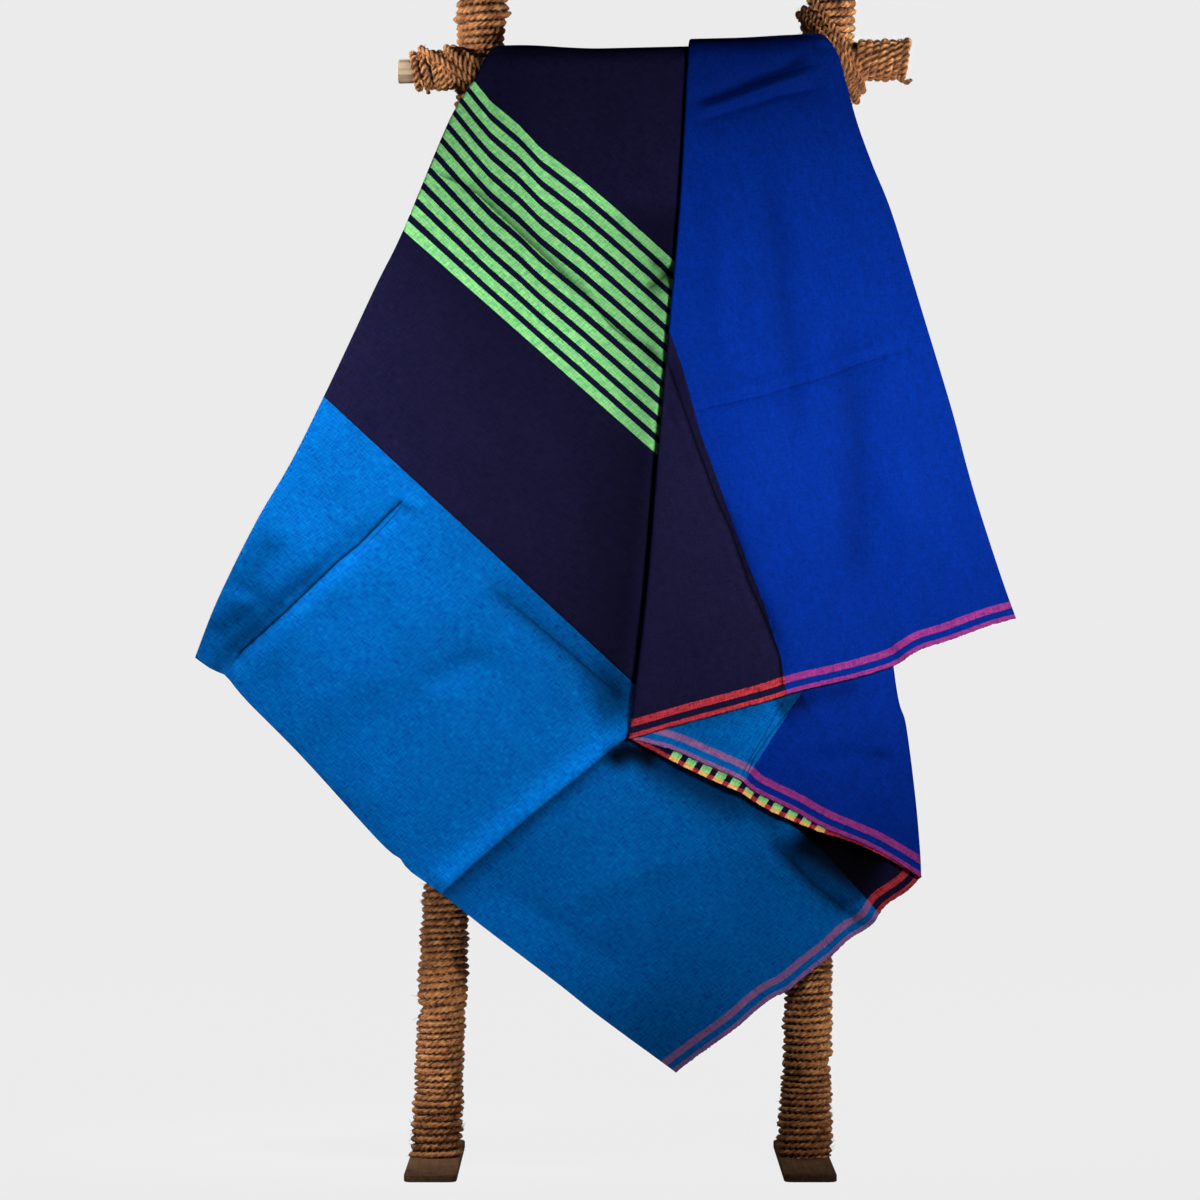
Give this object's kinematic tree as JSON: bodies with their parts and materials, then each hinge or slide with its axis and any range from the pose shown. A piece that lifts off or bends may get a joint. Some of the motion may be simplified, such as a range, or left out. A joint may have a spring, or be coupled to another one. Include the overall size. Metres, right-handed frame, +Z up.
{
  "type": "sarong hung over the crossbar of a rope-bound rack",
  "caption": "Handwoven tube sarong in blue, navy and green stripes, folded over the crossbar of a plain rack whose uprights are bound in coir rope.",
  "frame": {"origin": "on the floor, midway between the cloth's left and right tips and at the middle of the foot plates' length", "axes": "+Z up, +X to the right as one faces the rack, -Y towards the viewer, where the folded front of the cloth hangs"},
  "size_m": [0.8222, 0.32, 1.216],
  "materials": {
    "cloth": "woven cotton with a soft sheen",
    "coir": "rough hairy coir rope",
    "pole_wood": "bare weathered wood",
    "foot_wood": "plain brown wood"
  },
  "bodies": {
    "root": {"sarong": "cloth", "crossbar": "pole_wood", "bar_wrap_left": "coir", "bar_wrap_right": "coir", "upright_left": "coir", "upright_right": "coir", "lashing_left": "coir", "lashing_right": "coir", "foot_left": "foot_wood", "foot_right": "foot_wood"}
  },
  "joints": []
}
